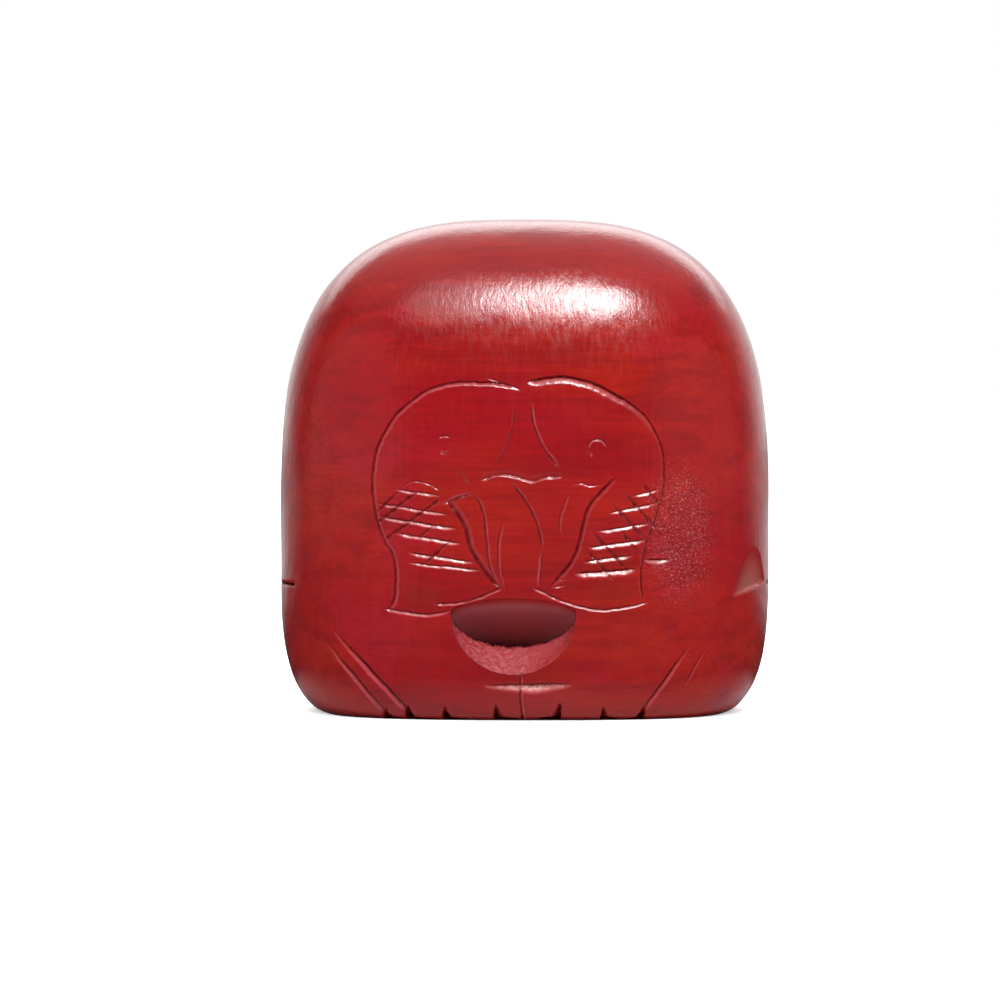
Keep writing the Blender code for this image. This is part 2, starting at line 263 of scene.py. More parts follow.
def chamber():
    low, high = BASE_WALL, HEIGHT - CROWN_WALL
    front, back = FACE_WALL - HALF_DEPTH, HALF_DEPTH - BACK_WALL
    bm = rounded_block(
        (HALF_WIDTH - SIDE_WALL, (back - front) / 2), (high - low) / 2, (high - low) / 2,
        PLAN_POWER, CHAMBER_POWER, CHAMBER_POWER, CHAMBER_CUTS)
    bmesh.ops.translate(bm, verts=bm.verts, vec=(0, (back + front) / 2, (high + low) / 2))
    return object_from(bm, "chamber")


def mouth_gap(x):
    place = np.clip(x / HALF_WIDTH, -1, 1)
    return KERF + (MOUTH_GAPE - KERF) * (1 - place ** 2) ** 2


def kerf_front(x):
    """The saw came further forward on the left side."""
    return -KERF_LEFT + (KERF_LEFT - KERF_RIGHT) * (x / (HALF_WIDTH + 0.5) + 1) / 2


def mouth():
    end = HALF_WIDTH + 1.0
    upper, lower = [], []
    for step in range(MOUTH_STEPS + 1):
        x = end * (2 * step / MOUTH_STEPS - 1)
        upper.append((x, kerf_front(x), MOUTH_HEIGHT + mouth_gap(x) / 2))
        lower.append((x, kerf_front(x), MOUTH_HEIGHT - mouth_gap(x) / 2))
    bm = bmesh.new()
    outline = bm.faces.new([bm.verts.new(point) for point in upper + lower[::-1]])
    pushed = bmesh.ops.extrude_face_region(bm, geom=[outline])
    moved = [item for item in pushed["geom"] if isinstance(item, bmesh.types.BMVert)]
    bmesh.ops.translate(bm, verts=moved, vec=(0, KERF_LEFT + HALF_DEPTH + 1.0, 0))
    return object_from(bm, "mouth")


def in_order(cut):
    """The same mesh with its points and faces sorted, since the cut lists them in any order."""
    points = np.empty(len(cut.vertices) * 3)
    cut.vertices.foreach_get("co", points)
    points = points.reshape(-1, 3)
    order = np.lexsort(points.T)
    rank = np.argsort(order)
    faces = []
    for face in cut.polygons:
        ring = [int(rank[corner]) for corner in face.vertices]
        start = ring.index(min(ring))
        faces.append(ring[start:] + ring[:start])
    mesh = bpy.data.meshes.new("hollow_block")
    mesh.from_pydata(points[order].tolist(), [], sorted(faces))
    return mesh


def hollow_block():
    """Points and triangles of the block with its chamber and mouth, before any carving."""
    block = blank()
    cutters = [chamber(), mouth()]
    for cutter in cutters:
        boolean = block.modifiers.new(cutter.name, "BOOLEAN")
        boolean.operation = "DIFFERENCE"
        boolean.solver = "EXACT"
        boolean.object = cutter
    graph = bpy.context.evaluated_depsgraph_get()
    mesh = in_order(block.evaluated_get(graph).to_mesh())
    mesh.calc_loop_triangles()
    points = np.empty(len(mesh.vertices) * 3)
    mesh.vertices.foreach_get("co", points)
    triangles = np.empty(len(mesh.loop_triangles) * 3, dtype=np.int32)
    mesh.loop_triangles.foreach_get("vertices", triangles)
    for item in [block] + cutters:
        bpy.data.objects.remove(item, do_unlink=True)
    bpy.data.meshes.remove(mesh)
    return points.reshape(-1, 3), triangles.reshape(-1, 3).astype(np.int64)


def outer_triangles(points, triangles):
    """Which triangles lie on the outer form, and not on the base, the slit's walls or the chamber."""
    on_form = np.linalg.norm(to_surface(points) - points, axis=1) < ON_FORM
    corners = points[triangles]
    facing = np.cross(corners[:, 1] - corners[:, 0], corners[:, 2] - corners[:, 0])
    facing /= np.maximum(np.linalg.norm(facing, axis=1, keepdims=True), 1e-12)
    outward = surface_normals(corners.mean(1))
    return on_form[triangles].all(1) & ((facing * outward).sum(1) > FACING)


def refine(points, triangles, outer, wanted):
    """Splits every edge that is longer than wanted there, and lifts new points to the form."""
    sides = np.concatenate([triangles[:, [0, 1]], triangles[:, [1, 2]], triangles[:, [2, 0]]])
    keys = np.sort(sides, axis=1)
    edges, index = np.unique(keys[:, 0] * len(points) + keys[:, 1], return_inverse=True)
    first, second = edges // len(points), edges % len(points)
    index = index.reshape(3, -1).T
    middles = (points[first] + points[second]) / 2
    lengths = np.linalg.norm(points[first] - points[second], axis=1)
    curved = np.zeros(len(edges), bool)
    curved[index[outer].ravel()] = True
    split = lengths > wanted(middles)
    number = np.full(len(edges), -1)
    number[split] = len(points) + np.arange(split.sum())
    lifted = np.where(curved[:, None], to_surface(middles), middles)[split]
    points = np.concatenate([points, lifted])
    marks = split[index]
    count = marks.sum(1)
    kept = [triangles[count == 0]]
    labels = [outer[count == 0]]

    def emit(rows, *faces):
        for face in faces:
            kept.append(np.stack(face, 1))
            labels.append(outer[rows])

    a, b, c = triangles.T
    ab, bc, ca = number[index].T
    rows = count == 3
    emit(rows, (a[rows], ab[rows], ca[rows]), (ab[rows], b[rows], bc[rows]),
         (ca[rows], bc[rows], c[rows]), (ab[rows], bc[rows], ca[rows]))
    for turn in range(3):
        order = [(turn + step) % 3 for step in range(3)]
        corner = triangles[:, order]
        mark = marks[:, order]
        middle = number[index][:, order]
        one = (count == 1) & mark[:, 0]
        p, q, r = corner[one].T
        m = middle[one, 0]
        emit(one, (p, m, r), (m, q, r))
        two = (count == 2) & mark[:, 0] & mark[:, 1]
        p, q, r = corner[two].T
        m, n = middle[two, 0], middle[two, 1]
        emit(two, (m, q, n))
        from_corner = np.linalg.norm(points[p] - points[n], axis=1)
        from_middle = np.linalg.norm(points[m] - points[r], axis=1)
        across = from_corner < from_middle
        rows = np.flatnonzero(two)
        near, far = rows[across], rows[~across]
        emit(near, (p[across], m[across], n[across]), (p[across], n[across], r[across]))
        emit(far, (p[~across], m[~across], r[~across]), (m[~across], n[~across], r[~across]))
    return points, np.concatenate(kept), np.concatenate(labels)


# Strokes of the knife and the gouge

def smooth_path(points, step=0.5):
    """A smooth curve through given points, sampled about every half millimetre."""
    points = [np.array(point, float) for point in points]
    if len(points) == 2:
        points.insert(1, (points[0] + points[1]) / 2)
    padded = [2 * points[0] - points[1]] + points + [2 * points[-1] - points[-2]]
    path = [points[0]]
    for before, start, end, after in zip(padded, padded[1:], padded[2:], padded[3:]):
        pieces = max(1, round(np.linalg.norm(end - start) / step))
        for piece in range(1, pieces + 1):
            t = piece / pieces
            curve = 2 * start + (end - before) * t
            curve = curve + (2 * before - 5 * start + 4 * end - after) * t ** 2
            curve = curve + (3 * start - before - 3 * end + after) * t ** 3
            path.append(curve / 2)
    return np.array(path)


def motif(*pairs):
    """Face places of drawing points: across from the middle line, and up from the pocket's roof."""
    return [(across * MOTIF_SCALE, POCKET_TOP + up * MOTIF_SCALE) for across, up in pairs]


def stroke(
        points, left, right, depth, pale=0.6, painted_shade=0.8, run_in=1.5, run_out=1.5, chatter=0.3, glint=0.0):
    """A cut along face points: left and right are its widths beside the line of its bottom.

    The wider side is the gentle wall, which rolls out to the surface. The stroke paints light on that
    wall and shade at its bottom and on the steep wall; a glint is a painted highlight, whitish, on part of
    it.
    """
    return {
        "path": smooth_path(points), "left": left, "right": right, "depth": depth,
        "pale": pale, "painted_shade": painted_shade, "run_in": run_in, "run_out": run_out,
        "chatter": chatter, "glint": glint, "phase": rng.uniform(0, 2 * np.pi, 8),
    }


def outline_strokes():
    """The two bodies' outlines; the numbers follow each path in the order that stroke takes them."""
    left = motif(
        (-0.2, 32.2), (-2.6, 33), (-6.5, 33.4), (-11.5, 33.2), (-15.2, 31.9), (-18.9, 29.1), (-21.2, 26.1),
        (-22.8, 22.5), (-23.4, 18.8), (-23.3, 15.2), (-22.6, 11.6), (-21.5, 8.5), (-20.2, 6.5),
        (-19.8, 3.3), (-20, -0.4), (-21, -1.9))
    right = motif(
        (0.6, 33.3), (2.9, 34), (6.8, 34.2), (10.7, 33.3), (15.4, 30.9), (18.8, 28.2), (20.8, 25.1),
        (21.8, 21.7), (21.9, 18.3), (21.6, 16), (20.9, 13.3), (19.9, 10.4), (19, 7.8), (18.5, 5.5),
        (18.3, 2.8), (18.5, -0.3))
    return [
        stroke(left, 0.75, 0.17, 0.45, 0.5, 0.75, 2.5, 1, 0.25),
        stroke(right[:7], 0.16, 1.3, 0.62, 0.35, 0.7, 1.5, 9, 0.1, 0.1),
        stroke(right[4:], 0.17, 0.42, 0.38, 0.3, 0.8, 4, 1, 0.3),
        stroke(motif((-5.6, 34), (-3.4, 33.4), (-2.6, 33.2)), 0.16, 0.24, 0.16, 0.4, 0.3, 1, 0.6),
        stroke(motif((-21.5, -1.7), (-18.5, -2.2), (-15.8, -2.6), (-13.2, -2.4), (-10.9, -2)),
               0.18, 0.6, 0.36, 0.65, 0.4, 0.8, 1.5, 0.12),
        stroke(motif((-13.6, -1), (-10.2, -0.9), (-6.7, 0), (-3.2, 1.5)), 0.35, 0.4, 0.3, 0.7, 0.5, 1, 0.6),
        stroke(motif((1.6, 1.6), (5, 0), (8.2, -1.2), (12.3, -1.9), (15.5, -1.6), (19.6, -0.7)),
               0.2, 0.4, 0.3, 0.65, 0.5, 0.6, 1.5, 0.12),
    ]


def fin_strokes():
    """Brow, fins and tails: widths to the left and right, depth, and the painted light and shade on the
    walls.
    """
    plain = [
        (motif((1.3, 30.4), (1.7, 27), (3, 23.7), (5.7, 20)), 0.45, 0.3, 0.4, 0.8, 0.6),
        (motif((-1.3, 29.7), (-1.6, 26.5), (-2.9, 22.8), (-4.4, 20.5)), 0.3, 0.35, 0.16, 0.1, 0.6),
        (motif((-6.8, 18), (-4.3, 19), (-1.7, 18.9), (1.5, 18.1), (3.3, 18.6), (6.4, 18.8)),
         0.95, 0.35, 0.34, 0.1, 0.3),
        (motif((-6.4, 17.9), (-4.3, 18.85), (-1.7, 18.75), (1.5, 17.95), (3.3, 18.45), (6.2, 18.65)),
         0.1, 0.3, 0.17, 0.75, 0.1),
        (motif((-10.5, 20.3), (-8.4, 17.8), (-8.1, 17.1)), 0.25, 0.25, 0.2, 0.5, 0.4),
        (motif((-12.6, 14.4), (-10.4, 15.4), (-7.4, 16.2)), 0.45, 0.4, 0.4, 0.8, 0.8),
        (motif((-12, 15.2), (-10.2, 13.2), (-8.8, 10.5), (-7.8, 7.1), (-5.4, 3.6), (-3.4, 1.3)),
         0.95, 0.36, 0.6, 0.35, 1.0),
        (motif((-7.4, 16.3), (-6.1, 13.1), (-5.6, 9.3), (-5.3, 5.9), (-4.2, 2.5), (-3.6, 1.6)),
         0.45, 0.32, 0.4, 0.65, 0.6),
        (motif((-2.9, 11.5), (-3.6, 9.3), (-3.8, 7), (-3.6, 3.7), (-2.9, 1.2)), 0.4, 0.25, 0.3, 0.65, 0.5),
        (motif((-1.9, 18), (0, 15.6), (1.9, 12.4), (3, 8.4), (3.1, 7.4)), 0.42, 0.3, 0.42, 0.65, 0.75),
        (motif((3.1, 7.3), (2.8, 4.4), (2.4, 1.4)), 0.3, 0.42, 0.34, 0.8, 0.4),
        (motif((7.6, 17.4), (9.2, 17.7), (10.2, 17.3), (12.6, 17.6)), 0.25, 0.3, 0.18, 0.7, 0.4),
        (motif((7.1, 16.1), (6.2, 13.5), (5.7, 11.5), (5.9, 9.3)), 0.35, 0.35, 0.22, 0.5, 0.5),
        (motif((14.5, 18.6), (12.1, 16.3), (10.2, 13.8), (9.3, 10.9), (8.7, 8.1), (7.3, 5.1), (4.3, 1.6)),
         0.65, 0.36, 0.56, 0.25, 1.0),
        (motif((4.3, 1.6), (6.9, 1.9)), 0.2, 0.35, 0.25, 0.9, 0.2),
        (motif((4.9, 2.6), (7.2, 2.9)), 0.15, 0.25, 0.2, 0.8, 0.2),
    ]
    return [stroke(*row) for row in plain]


def scale_strokes():
    """Rows of scales, each with its width and strength of painted light, and the slanting cuts that cross
    them.
    """
    rows = [
        ((-19.9, 16.8), (-12.7, 15.8), 0.42, 0.8), ((-22.6, 14.6), (-11.6, 12.9), 0.44, 0.7),
        ((-22.2, 12.5), (-10.2, 10.7), 0.5, 0.8), ((-19.7, 10), (-9.4, 8.4), 0.5, 0.9),
        ((-17.8, 7), (-7.4, 5.5), 0.5, 0.9), ((-17.7, 5.4), (-6.6, 4.3), 0.42, 0.8),
        ((16.8, 15.7), (21.4, 16.8), 0.42, 0.9), ((13.3, 13.1), (20.6, 14.6), 0.48, 0.9),
        ((11.5, 10.3), (19.5, 11.5), 0.52, 0.9), ((10.2, 7.8), (19.1, 9), 0.6, 1.0),
        ((9.4, 5.6), (17.1, 6.6), 0.55, 0.9), ((8, 3.8), (17.7, 4.5), 0.85, 1.0),
        ((20.4, 10.8), (22.5, 10.8), 0.3, 0.7), ((18.6, 5.9), (23.2, 5.9), 0.7, 1.0),
    ]
    slants = [
        ((-18.9, 16.6), (-22.9, 12.9)), ((-16.1, 16.5), (-22.9, 11.2)), ((-12.5, 15.4), (-21.6, 8.6)),
        ((-13.6, 11.2), (-16.2, 9)), ((-10.7, 9.2), (-15.4, 4.9)), ((18.4, 17.9), (21.4, 14.2)),
        ((15.6, 16.5), (20.8, 10.5)), ((13.9, 14.6), (18.7, 9.3)), ((15.1, 10.6), (17.9, 6.9)),
        ((10.8, 10.3), (16.3, 4.1)), ((9.8, 7.5), (14.3, 2.6)),
    ]
    cuts = [
        stroke(motif(start, end), 0.16, width * 1.3, width * 0.7, 0.7 * pale, 0.5, 1.6, 1.6, 0.2, 0.6 * pale)
        for start, end, width, pale in rows]
    cuts += [stroke(motif(start, end), 0.5, 0.42, 0.42, 0.0, 0.9, 1.5, 1.0, 0.6) for start, end in slants]
    cuts.append(stroke(motif((-18.8, 16.9), (-17.2, 17.9), (-14.7, 17.6), (-12.6, 16.5)),
                       0.2, 0.22, 0.2, 0.4, 0.5, 1, 1, 0.5))
    return cuts


def eye_strokes():
    """Rings struck with a round punch: the tool bit deeper on one side."""
    strokes = []
    for centre, radius, start, end in (((11.6, 23.1), 1.45, 5, 175), ((-12.1, 23.7), 1.35, 50, 130),
                                       ((-12.1, 23.7), 1.35, 235, 310), ((11.6, 23.1), 1.45, 200, 240)):
        turns = np.radians(np.linspace(start, end, 7))
        ring = [(centre[0] + radius * math.cos(turn), centre[1] + radius * math.sin(turn)) for turn in turns]
        strokes.append(stroke(motif(*ring), 0.32, 0.16, 0.24, 0.9, 0.4, 0.5, 0.5, 0.2))
    return strokes


def lower_strokes():
    """The cross below the pocket, the slanting corner cuts and the notches in the base edge."""
    middle = POCKET_CENTRE + 1.0
    foot = POCKET_TOP - POCKET_ARCH - POCKET_DROP
    strokes = [
        stroke([(middle - 5.5, 5.7), (middle + 7.9, 5.9)], 0.14, 1.7, 0.7, 1.0, 0.3, 7, 5, 0.05, 1.0),
        stroke([(middle, foot), (middle + 0.1, 3.2), (middle + 0.4, -0.6)],
               0.5, 0.25, 0.45, 0.9, 0.5, 0.6, 0.01),
        stroke([(-29, 13.9), (-17.7, 1.9)], 0.32, 0.85, 0.6, 0.7, 0.8, 7, 0.6, 0.1),
        stroke([(-30, 11.9), (-21.2, 1.4)], 0.32, 0.7, 0.5, 0.7, 0.7, 6, 0.6, 0.1),
        stroke([(25.4, 11.6), (18.3, 1.6)], 0.6, 0.32, 0.46, 0.6, 0.8, 5, 1.0, 0.1),
        stroke([(27.9, 11.1), (23.9, 4.2)], 0.3, 0.22, 0.24, 0.4, 0.6, 3, 3, 0.1),
    ]
    # Each notch: its place, top and depth, and how far its scallop runs to the right
    notches = [(-21.2, 1.9, 1.3, 3.2), (-17.8, 2.4, 1.6, 4.2), (-12.1, 2.3, 1.5, 4.6), (-4.3, 2.6, 1.6, 4.4),
               (5.6, 2.8, 1.7, -3.8), (12.1, 2.3, 1.5, 4.2), (18.4, 2.3, 1.5, -2.6)]
    for x, top, depth, reach in notches:
        widths = (1.6, 0.25) if reach > 0 else (0.25, 1.6)
        strokes.append(stroke(
            [(x + 0.2, top), (x + 0.05, 1.2), (x, -0.8)], *widths, depth, 0.3, 0.8, 1.8, 0.01, 0.2))
        # The scallop, pressed in and darkened with painted shade
        strokes.append(stroke(
            [(x, -0.1), (x + reach, -0.1)], 0.9, 0.9, 0.9 * depth, 0.0, 1.0, 0.3, abs(reach), 0.2))
    return strokes


def along_stroke(cut, x, z):
    """Signed distance from the stroke's line, positive on its left, and the distance from its start."""
    path = cut["path"]
    best = np.full(len(x), 1e9)
    signed = np.zeros(len(x))
    travelled = np.zeros(len(x))
    before = 0.0
    for start, end in zip(path, path[1:]):
        run = end - start
        length = np.hypot(*run)
        dx, dz = x - start[0], z - start[1]
        share = np.clip((dx * run[0] + dz * run[1]) / length ** 2, 0, 1)
        off = np.hypot(dx - share * run[0], dz - share * run[1])
        side = np.sign(run[0] * dz - run[1] * dx)
        closer = off < best
        best = np.where(closer, off, best)
        signed = np.where(closer, off * np.where(side == 0, 1, side), signed)
        travelled = np.where(closer, before + share * length, travelled)
        before += length
    return signed, travelled, before


def ease(low, high, value):
    """From 0 at low to 1 at high, without a corner at either end."""
    share = np.clip((value - low) / (high - low), 0, 1)
    return share * share * (3 - 2 * share)


def press(cut, x, z):
    """How deep the stroke goes at face places (x, z), and the light, shade and glint it paints there."""
    margin = 1.6 * max(cut["left"], cut["right"])
    low, high = cut["path"].min(0) - margin, cut["path"].max(0) + margin
    near = np.flatnonzero((x > low[0]) & (x < high[0]) & (z > low[1]) & (z < high[1]))
    marks = np.zeros((GLINT + 1, len(x)))
    if not len(near):
        return marks
    signed, travelled, total = along_stroke(cut, x[near], z[near])
    phase = cut["phase"]
    signed = signed + STROKE_WANDER * (
        np.sin(travelled * 1.1 + phase[0]) + 0.5 * np.sin(travelled * 2.9 + phase[1]))
    rough = 0.5 + 0.25 * (np.sin(travelled * 1.9 + phase[2]) + np.sin(travelled * 4.3 + phase[3]))
    strength = np.minimum(travelled / cut["run_in"], (total - travelled) / cut["run_out"])
    strength = np.clip(strength, 0, 1) ** 0.8 * (1 - cut["chatter"] * rough)
    widen = 0.4 + 0.6 * strength
    on_left = signed > 0
    share = np.abs(signed) / np.where(on_left, cut["left"], cut["right"]) / widen
    gentle = on_left == (cut["left"] >= cut["right"])
    rest = 1 - np.sqrt(share ** 2 + 0.015)
    rolled = np.clip(rest, 0, 1) ** 1.5
    sharp = 0.5 * (rest + np.sqrt(rest ** 2 + 0.02))
    fade = 1 - ease(1.0, 1.6, share)
    marks[DEPTH, near] = cut["depth"] * strength * np.where(gentle, rolled, sharp * fade)
    lit = ease(0.1, 0.4, share) * (1 - ease(0.7, 1.05, share))
    marks[PALE, near] = cut["pale"] * strength * np.where(gentle, lit, 0)
    shade = np.where(gentle, 1 - ease(0.0, 0.35, share), 1 - ease(0.4, 1.3, share))
    marks[DARK, near] = cut["painted_shade"] * strength * shade
    # Breaks along the stroke in the painted highlight
    painted_glint = np.sin(travelled * 1.4 + phase[6]) + 0.8 * np.sin(travelled * 3.7 + phase[7])
    shine = ease(0.12, 0.3, share) * (1 - ease(0.5, 0.8, share))
    marks[GLINT, near] = cut["glint"] * strength * np.where(gentle, shine, 0)
    marks[GLINT, near] *= 1 - min(2.2 * cut["chatter"], 1) * (1 - ease(-0.5, 0.9, painted_glint))
    return marks


def pocket_press(x, z):
    """Depth of the pocket straight into the block, and whether a place is on its rough ramp."""
    place = np.clip((x - POCKET_CENTRE) / (POCKET_WIDTH / 2), -1, 1)
    swell = np.sqrt(1 - place ** 2)
    line = POCKET_TOP - POCKET_ARCH
    top = line + POCKET_ARCH * swell
    leftward = ease(3.0, -3.0, x)
    ragged = 0.10 * np.sin(2.3 * x) + leftward * (0.07 * np.sin(5.1 * x + 1) + 0.05 * np.sin(9.7 * x + 2))
    bottom = line - POCKET_DROP * swell
    seat = line - (POCKET_DROP - POCKET_FLOOR_RISE + ragged) * swell
    opening = top - line + (POCKET_DROP - POCKET_FLOOR_RISE) * swell
    roof = np.clip((top - z) / np.maximum(opening, 1e-6), 0, 1)
    ramp = np.clip((z - bottom) / np.maximum(POCKET_FLOOR_RISE * swell, 1e-6), 0, 1.1)
    inside = (z < top) & (z > bottom) & (swell > 0)
    on_ramp = inside & (z < seat)
    deep = POCKET_DEPTH * swell ** 0.8
    hollow = deep * (1 - (1 - roof ** ROOF_ROLL) ** ROOF_CURVE)
    depth = np.where(on_ramp, LIP_SHARE * deep * ramp ** 1.1, hollow)
    return np.where(inside, depth, 0), on_ramp * (0.55 + 0.45 * leftward)


def pocket_lines():
    """The pocket's edges, where the skin has to be fine."""
    turns = np.linspace(0, np.pi, 40)
    x = POCKET_CENTRE - POCKET_WIDTH / 2 * np.cos(turns)
    line = POCKET_TOP - POCKET_ARCH
    return [np.stack([x, line + reach * np.sin(turns)], 1)
            for reach in (POCKET_ARCH, -POCKET_DROP, -(POCKET_DROP - POCKET_FLOOR_RISE))]


def ripple(points, size, phase):
    """Gentle unevenness of a hand-shaped surface, about size millimetres across, between -1 and 1."""
    total = np.zeros(len(points))
    for turn in range(5):
        way = np.array([
            math.sin(1.7 * turn + phase), math.cos(2.3 * turn + phase), math.sin(2.9 * turn + 1 + phase)])
        total += np.sin(points @ way * (2 * np.pi / size) * (0.7 + 0.17 * turn) + 3.1 * turn + phase)
    return total / 5


def relief_press(points):
    """How far each point moves in to the chiselled flat, and the level direction that it moves in."""
    place = face_point(HALF_WIDTH - RELIEF_INSET, MOUTH_HEIGHT - RELIEF_DROP)
    normal = surface_normals(place[None])[0]
    outward = np.array([normal[0], normal[1], 0]) / math.hypot(normal[0], normal[1])
    back = np.array([-outward[1], outward[0], 0])
    along = back * math.cos(RELIEF_TILT) + np.array([0, 0, math.sin(RELIEF_TILT)])
    upward = np.cross(outward, along)
    away = points - (place - outward * RELIEF_DEPTH)
    rise = away @ upward
    depth = away @ outward - rise * RELIEF_DEPTH / RELIEF_LENGTH
    inside = (depth > 0) & (rise > -RELIEF_LEDGE / 2) & (points[:, 0] > 0) & (points[:, 1] < 0)
    return np.where(inside, depth * ease(-RELIEF_LEDGE / 2, RELIEF_LEDGE / 2, rise), 0), outward


class Skin:
    """The carved block: its mesh and the marks that the material reads."""

    def __init__(self):
        self.strokes = outline_strokes() + fin_strokes() + scale_strokes() + eye_strokes() + lower_strokes()
        self.make_spacing()
        points, triangles = hollow_block()
        outer = outer_triangles(points, triangles)
        for _ in range(REFINE_ROUNDS):
            before = len(triangles)
            points, triangles, outer = refine(points, triangles, outer, self.wanted)
            if len(triangles) == before:
                break
        self.triangles = triangles
        self.press_in(points, outer)

    def make_spacing(self):
        """A map over the face of the distance to the nearest stroke or pocket edge."""
        columns = int(2 * HALF_WIDTH / MAP_CELL) + 1
        rows = int((HEIGHT - 2 * MAP_LOW) / MAP_CELL) + 1
        across = MAP_CELL * np.arange(columns) - HALF_WIDTH
        upward = MAP_LOW + MAP_CELL * np.arange(rows)
        grid = np.stack(np.meshgrid(across, upward, indexing="ij"), -1)
        nearest = np.full((columns, rows), MAP_FAR)
        reach = int(MAP_REACH / MAP_CELL)
        for path in [cut["path"] for cut in self.strokes] + pocket_lines():
            for point in path:
                i, j = ((point - (-HALF_WIDTH, MAP_LOW)) / MAP_CELL).astype(int)
                window = (slice(max(i - reach, 0), i + reach), slice(max(j - reach, 0), j + reach))
                away = np.hypot(grid[window][..., 0] - point[0], grid[window][..., 1] - point[1])
                nearest[window] = np.minimum(nearest[window], away)
        self.nearest = nearest

    def wanted(self, points):
        """The longest edge wanted at each point."""
        x, y, z = points.T
        i = np.clip(((x + HALF_WIDTH) / MAP_CELL).astype(int), 0, self.nearest.shape[0] - 1)
        j = np.clip(((z - MAP_LOW) / MAP_CELL).astype(int), 0, self.nearest.shape[1] - 1)
        near = self.nearest[i, j]
        fine = FINE_EDGE + EDGE_GROWTH * np.maximum(near - FINE_BAND, 0)
        depth, _ = pocket_press(x, z)
        fine = np.where(depth > 0, np.minimum(fine, POCKET_EDGE), fine)
        front = y < -FRONT_SHARE * HALF_DEPTH
        inner = np.linalg.norm(to_surface(points) - points, axis=1) > INNER_DEPTH
        rest = np.where(front, FACE_EDGE + CROWN_GROWTH * np.maximum(z - CROWN_FROM, 0), BODY_EDGE)
        lip = np.abs(np.abs(z - MOUTH_HEIGHT) - mouth_gap(x) / 2)
        rest = np.where((y > kerf_front(x) - 1) & (lip < LIP_BAND), LIP_EDGE, rest)
        relief = (x > 28) & (z > 16.5) & (z < 29) & (y < -5)
        rest = np.where(relief, np.minimum(rest, RELIEF_EDGE), rest)
        rest = np.where(z < 1.6 * BASE_ROUND, np.minimum(rest, LIP_EDGE), rest)
        return np.where(inner, INNER_EDGE, np.where(front, np.minimum(fine, rest), rest))

    def press_in(self, points, outer):
        """Carves the skin: every outer point moves in by the deepest stroke over it."""
        x, y, z = points.T
        skin = np.zeros(len(points), bool)
        skin[self.triangles[outer].ravel()] = True
        front = np.flatnonzero(skin & (y < CARVED_BEFORE))
        marks = np.zeros((GLINT + 1, len(points)))
        for one in self.strokes:
            marks[:, front] = np.maximum(marks[:, front], press(one, x[front], z[front]))
        normals = surface_normals(points)
        pocket, ramp = np.zeros(len(points)), np.zeros(len(points))
        pocket[front], ramp[front] = pocket_press(x[front], z[front])
        uneven = sum(height * ripple(points, size, phase) for height, size, phase in UNEVEN)
        coarse = ramp * np.where(x < POCKET_CENTRE + 2, 1.0, 0.5)
        rough = coarse * sum(height * ripple(points, size, phase) for height, size, phase in RAMP_ROUGH)
        lip = np.clip(1 - (np.abs(z - MOUTH_HEIGHT) - mouth_gap(x) / 2) / LIP_ROUND, 0, 1)
        lip = np.where(skin & (y > kerf_front(x) - LIP_ROUND), LIP_ROUND * (1 - np.sqrt(1 - lip ** 2)), 0)
        relief, way = relief_press(points)
        inward = np.where(skin, marks[DEPTH] + uneven + lip, 0)
        moved = points - normals * inward[:, None] - way * np.where(skin, relief, 0)[:, None]
        moved[:, 1] += pocket + rough
        worn = 1 - np.clip(z / BASE_ROUND, 0, 1)
        inset = BASE_INSET * (1 - np.sqrt(1 - worn ** 2))
        moved[:, 0] *= 1 - inset / HALF_WIDTH
        moved[:, 1] *= 1 - inset / HALF_DEPTH
        moved[:, 2] = np.where(np.abs(z) < 1e-4, 0, np.maximum(moved[:, 2], 0))
        self.points = moved
        self.pale = marks[PALE]
        self.painted_shade = marks[DARK]
        self.glint = marks[GLINT] * (1 - np.clip(marks[DARK], 0, 1))
        self.ramp = ramp
        self.relief = np.where(skin, np.clip(relief / RELIEF_DEPTH, 0, 1), 0)
        self.coarse = coarse
        self.pocket = np.clip(pocket / POCKET_DEPTH, 0, 1)
        self.inside = 1.0 - skin

    def to_object(self):
        mesh = bpy.data.meshes.new("fish_skin")
        mesh.from_pydata((self.points * MM).tolist(), [], self.triangles.tolist())
        for name in ("pale", "painted_shade", "glint", "ramp", "coarse", "pocket", "relief", "inside"):
            layer = mesh.attributes.new(name, "FLOAT", "POINT")
            layer.data.foreach_set("value", getattr(self, name).astype(np.float32))
        mesh.shade_smooth()
        mesh.set_sharp_from_angle(angle=SHARP_ANGLE)
        mesh.update()
        item = bpy.data.objects.new("fish_skin", mesh)
        bpy.context.scene.collection.objects.link(item)
        return item


# Lacquer

